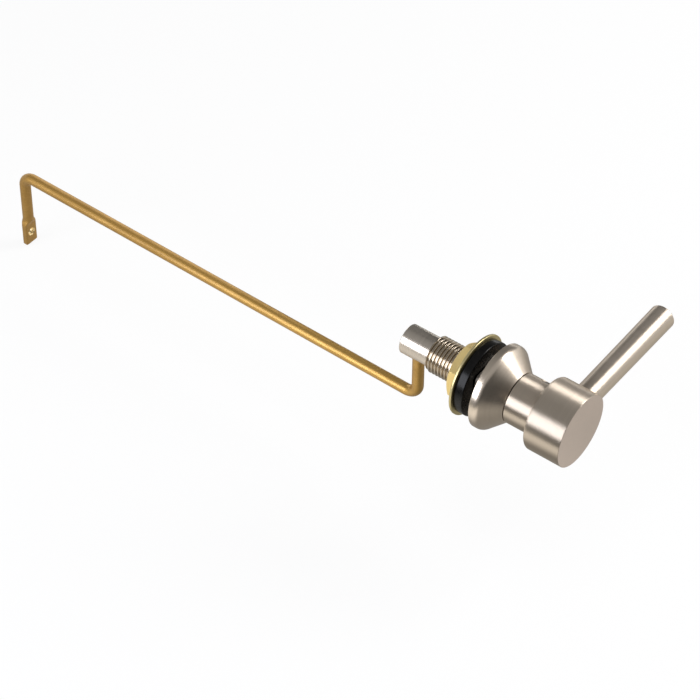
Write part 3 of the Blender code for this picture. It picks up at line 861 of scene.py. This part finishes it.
def makeScrew(name, size, foot, way):
    placing = Matrix.Translation(foot * mm)
    placing = placing @ Vector((0, 0, 1)).rotation_difference(way).to_matrix().to_4x4()
    turns = turnsOf(size["sides"])

    def ring(spans, station):
        points = [Vector((span * math.cos(turn), span * math.sin(turn), station)) for span, turn in zip(spans, turns)]
        return [placing @ (point * mm) for point in points]

    def plain(radius):
        return [radius] * size["sides"]

    r, top, edge, rim = size["r"], size["length"], size["edge"], size["socketEdge"]
    socket = [hexReach(turn, size["socketR"], size["socketRound"]) for turn in turns]
    rings = [ring(plain(r - edge), 0), ring(plain(r), edge), ring(plain(r), top - edge), ring(plain(r - edge), top),
             ring([span + rim for span in socket], top), ring(socket, top - rim),
             ring(socket, top - size["socketDepth"])]
    screw = skin(name, rings)
    paint(screw, "steel")
    return screw


hubLean = math.radians(hubSize["screwAngle"])
hubWay = Vector((math.cos(hubLean), 0, math.sin(hubLean)))
hubFoot = hubWay * hubScrewSize["foot"] + Vector((0, hubSize["screwY"], 0))
keep(makeScrew("hubGrubScrew", hubScrewSize, hubFoot, hubWay), "lever", "hub_set_screw")
armFoot = Vector((0, armScrewSize["foot"], 0))
keep(makeScrew("armGrubScrew", armScrewSize, armFoot, Vector((0, 1, 0))), "lever", "arm_set_screw")


# inner pieces keep their frame shapes and get finishes

innerFinish = {"front_bush": "acetal", "rear_bush": "acetal", "friction_ring": "rubber", "handle_stud": "steel"}
for name, finish in innerFinish.items():
    paint(nodes[name], finish)
print("inner pieces:", len(innerFinish))


# camera at the photograph's angle

cameraSet = {"azimuth": -52.488, "elevation": 45.793, "place": (-0.52844, -0.33756, 0.66099),
             "lens": 125.47, "sensor": 36.0}


def towards(azimuth, elevation):
    turn, lift = math.radians(azimuth), math.radians(elevation)
    return Vector((math.sin(turn) * math.cos(lift), -math.cos(turn) * math.cos(lift), math.sin(lift)))


def setCamera(view):
    data = bpy.data.cameras.new("camera")
    data.lens = view["lens"]
    data.sensor_width = view["sensor"]
    camera = bpy.data.objects.new("camera", data)
    right = towards(view["azimuth"] + 90, 0)
    back = towards(view["azimuth"], view["elevation"])
    facing = Matrix((right, back.cross(right), back)).transposed()
    camera.matrix_world = Matrix.Translation(view["place"]) @ facing.to_4x4()
    bpy.context.scene.collection.objects.link(camera)
    bpy.context.scene.camera = camera


setCamera(cameraSet)


# studio: pale floor, light tent, soft boxes and cards, in metres

floorSet = {
    "z": -0.0668, "size": 12.0, "colour": (0.90, 0.90, 0.90), "rough": 0.9, "cameraShare": 0.88,
    "tone": (1.0, 0.97, 0.91), "underLevel": 0.34,  # these and the rest are painted shade and painted light on the floor as metal sees it
    "slant": 0.4, "leftEdge": (0.035, 0.080), "leftFar": (0.02, 0.07), "leftFarShare": 0.3,
    "leftFront": (-0.11, -0.05), "leftLevel": 1.0,
    "armStart": (0.02, 0.06), "armLevel": 0.32, "armFar": (0.10, 0.22), "farShade": 0.34, "armSide": (0.0, 0.05),
    "rightEdge": (-0.02, 0.03), "rightFront": (-0.02, -0.07), "nearFront": (-0.10, -0.22), "nearShare": 0.8,
    "faceEdge": (0.03, 0.055), "faceShare": 1.55, "rightLevel": 0.31,
}
tentSet = {
    "r": 3.0, "segments": 48, "rings": 24, "foot": 0.4, "scale": (0.6, 0.8, 1), "slope": (-0.5, 1.8),
    "light": (0.42, 0.21), "topEdge": (2.25, 2.6), "topLight": 0.05, "rightEdge": (0.36, 0.96), "rightShade": 0.05,
}
boxSets = [
    {"name": "leftBox", "azimuth": -112, "elevation": 18, "far": 0.9, "size": (0.62, 0.58), "light": 5.2,
     "lean": 0, "tone": (0.97, 1.0, 1.10), "glossy": True},
    {"name": "rightBox", "azimuth": 53, "elevation": 31, "far": 0.9, "size": (0.32, 0.74), "light": 8.8,
     "lean": 29, "tone": (1.0, 0.99, 0.99), "glossy": True},
    {"name": "topFill", "azimuth": 0, "elevation": 90, "far": 1.4, "size": (0.8, 0.8), "light": 1.5,
     "lean": 0, "tone": (1, 1, 1), "glossy": False},
]
cardSets = [
    {"name": "leftFlag", "azimuth": -51.6, "far": 0.235, "facing": -97, "width": 0.465, "high": -0.004,
     "light": 0.12},
    {"name": "frontFlag", "azimuth": -27, "far": 0.26, "width": 0.40, "high": 0.19, "light": 0.07},
    {"name": "rightCard", "azimuth": 50, "far": 0.45, "width": 0.50, "high": 0.14, "light": 0.95},
    {"name": "backCard", "azimuth": 165, "far": 0.60, "width": 0.80, "high": 0.12, "light": 1.2},
    {"name": "sideCard", "azimuth": 110, "far": 0.45, "width": 0.40, "high": -0.035, "light": 2.4},
    {"name": "armCard", "azimuth": 159.85, "far": 0.290, "facing": 90, "width": 0.215, "low": -0.03,
     "high": 0.16, "light": 1.6},
    {"name": "nearArmCard", "azimuth": 140.8, "far": 0.158, "facing": 90, "width": 0.085, "low": -0.03,
     "high": 0.16, "light": 0.22},
]
worldLight = 0.4


def addSheet(name, shape):
    mesh = bpy.data.meshes.new(name)
    shape.to_mesh(mesh)
    shape.free()
    sheet = bpy.data.objects.new(name, mesh)
    bpy.context.scene.collection.objects.link(sheet)
    return sheet


def glowing(name, level):
    material = bpy.data.materials.new(name)
    material.use_nodes = True
    tree = material.node_tree
    tree.nodes.clear()
    glow = tree.nodes.new("ShaderNodeEmission")
    glow.inputs["Color"].default_value = (level, level, level, 1)
    out = tree.nodes.new("ShaderNodeOutputMaterial")
    tree.links.new(glow.outputs["Emission"], out.inputs["Surface"])
    return material


def softBox(box):
    lamp = bpy.data.lights.new(box["name"], "AREA")
    lamp.shape = "RECTANGLE"
    lamp.size, lamp.size_y = box["size"]
    lamp.energy = box["light"] * math.pi * lamp.size * lamp.size_y
    lamp.color = box["tone"]
    holder = bpy.data.objects.new(box["name"], lamp)
    direction = towards(box["azimuth"], box["elevation"])
    holder.location = direction * box["far"]
    facing = direction.to_track_quat("Z", "Y") @ Quaternion((0, 0, 1), -math.radians(box["lean"]))
    holder.rotation_euler = facing.to_euler()
    holder.visible_camera = False
    holder.visible_glossy = box["glossy"]
    bpy.context.scene.collection.objects.link(holder)


def paintedFloorShadeAndLight(tree, floor):
    # how bright the floor is in reflections: painted shade under the part, painted light to its sides
    place = placeOf(tree)
    x, y = place["X"], place["Y"]
    slant = combine(tree, "SUBTRACT", combine(tree, "MULTIPLY", y, floor["slant"]), x)
    left = spread(tree, slant, floor["leftEdge"])
    left = combine(tree, "MULTIPLY", left, spread(tree, y, floor["leftFar"], (1, floor["leftFarShare"])))
    left = combine(tree, "MULTIPLY", left, spread(tree, y, floor["leftFront"]))
    arm = spread(tree, y, floor["armStart"], (0, floor["armLevel"]))
    arm = combine(tree, "SUBTRACT", arm, spread(tree, y, floor["armFar"], (0, floor["farShade"])))
    arm = combine(tree, "MULTIPLY", arm, spread(tree, x, floor["armSide"], (1, 0)))
    front = combine(tree, "ADD", spread(tree, y, floor["rightFront"]),
                    spread(tree, y, floor["nearFront"], (0, floor["nearShare"])))
    right = combine(tree, "MULTIPLY", spread(tree, x, floor["rightEdge"]), front)
    right = combine(tree, "MULTIPLY", right, spread(tree, x, floor["faceEdge"], (floor["faceShare"], 1)))
    level = combine(tree, "ADD", combine(tree, "MULTIPLY", left, floor["leftLevel"]),
                    combine(tree, "MULTIPLY", right, floor["rightLevel"]))
    return combine(tree, "ADD", combine(tree, "ADD", level, arm), floor["underLevel"])


def makeFloor(floor):
    shape = bmesh.new()
    bmesh.ops.create_grid(shape, x_segments=1, y_segments=1, size=floor["size"] / 2)
    bmesh.ops.translate(shape, vec=(0, 0, floor["z"]), verts=shape.verts)
    material, tree, shader = startFinish("pale floor")
    shader.inputs["Base Color"].default_value = (*floor["colour"], 1)
    shader.inputs["Roughness"].default_value = floor["rough"]
    shader.inputs["Specular IOR Level"].default_value = 0.0
    glow = tree.nodes.new("ShaderNodeEmission")
    path = tree.nodes.new("ShaderNodeLightPath").outputs
    mix = tree.nodes.new("ShaderNodeMixShader")
    seen = combine(tree, "MAXIMUM", path["Is Camera Ray"], path["Is Transmission Ray"])
    seen = combine(tree, "MULTIPLY", seen, floor["cameraShare"])
    glossy = path["Is Glossy Ray"]
    level = combine(tree, "ADD", combine(tree, "MULTIPLY", glossy, paintedFloorShadeAndLight(tree, floor)),
                    combine(tree, "SUBTRACT", 1.0, glossy))
    tree.links.new(level, glow.inputs["Strength"])
    tree.links.new(tinted(tree, glossy, (1, 1, 1), floor["tone"]), glow.inputs["Color"])
    tree.links.new(combine(tree, "MAXIMUM", seen, glossy), mix.inputs["Fac"])
    tree.links.new(shader.outputs["BSDF"], mix.inputs[1])
    tree.links.new(glow.outputs["Emission"], mix.inputs[2])
    tree.links.new(mix.outputs["Shader"], tree.nodes["Material Output"].inputs["Surface"])
    addSheet("floor", shape).data.materials.append(material)


def makeCard(card, floorZ):
    # an upright card that only shiny surfaces see
    centre = towards(card["azimuth"], 0) * card["far"]
    side = towards(card.get("facing", card["azimuth"]) + 90, 0) * card["width"] / 2
    low, high = card.get("low", floorZ), card["high"]
    corners = [(centre + side, low), (centre - side, low), (centre - side, high), (centre + side, high)]
    shape = bmesh.new()
    shape.faces.new([shape.verts.new((spot.x, spot.y, z)) for spot, z in corners])
    sheet = addSheet(card["name"], shape)
    sheet.data.materials.append(glowing(card["name"], card["light"]))
    sheet.visible_camera = False
    sheet.visible_diffuse = False
    sheet.visible_shadow = False


def makeTent(tent, floorZ):
    shape = bmesh.new()
    bmesh.ops.create_uvsphere(shape, u_segments=tent["segments"], v_segments=tent["rings"], radius=tent["r"])
    buried = [vert for vert in shape.verts if vert.co.z < floorZ - tent["foot"]]
    bmesh.ops.delete(shape, geom=buried, context="VERTS")
    material = glowing("tent cloth", 1)
    tree = material.node_tree
    place = placeOf(tree, tent["scale"])
    level = spread(tree, combine(tree, "ADD", place["X"], place["Y"]), tent["slope"], tent["light"])
    level = combine(tree, "ADD", level, spread(tree, place["Z"], tent["topEdge"], (0, tent["topLight"])))
    level = combine(tree, "SUBTRACT", level, spread(tree, place["X"], tent["rightEdge"], (0, tent["rightShade"])))
    tree.links.new(level, tree.nodes["Emission"].inputs["Strength"])
    sheet = addSheet("tent", shape)
    sheet.data.materials.append(material)
    sheet.visible_camera = False


def setWorld(light):
    world = bpy.data.worlds.new("studio")
    bpy.context.scene.world = world
    world.use_nodes = True
    tree = world.node_tree
    back = tree.nodes["Background"]
    white = tree.nodes.new("ShaderNodeBackground")
    for background, strength in ((back, light), (white, 1.0)):
        background.inputs["Color"].default_value = (1, 1, 1, 1)
        background.inputs["Strength"].default_value = strength
    path = tree.nodes.new("ShaderNodeLightPath").outputs
    shown = combine(tree, "MAXIMUM", path["Is Camera Ray"], path["Is Glossy Ray"])
    shown = combine(tree, "MAXIMUM", shown, path["Is Transmission Ray"])
    mix = tree.nodes.new("ShaderNodeMixShader")
    tree.links.new(shown, mix.inputs["Fac"])
    tree.links.new(back.outputs["Background"], mix.inputs[1])
    tree.links.new(white.outputs["Background"], mix.inputs[2])
    tree.links.new(mix.outputs["Shader"], tree.nodes["World Output"].inputs["Surface"])


makeFloor(floorSet)
makeTent(tentSet, floorSet["z"])
for card in cardSets:
    makeCard(card, floorSet["z"])
setWorld(worldLight)
for box in boxSets:
    softBox(box)
bpy.context.scene.view_settings.view_transform = "Standard"
print("studio set")
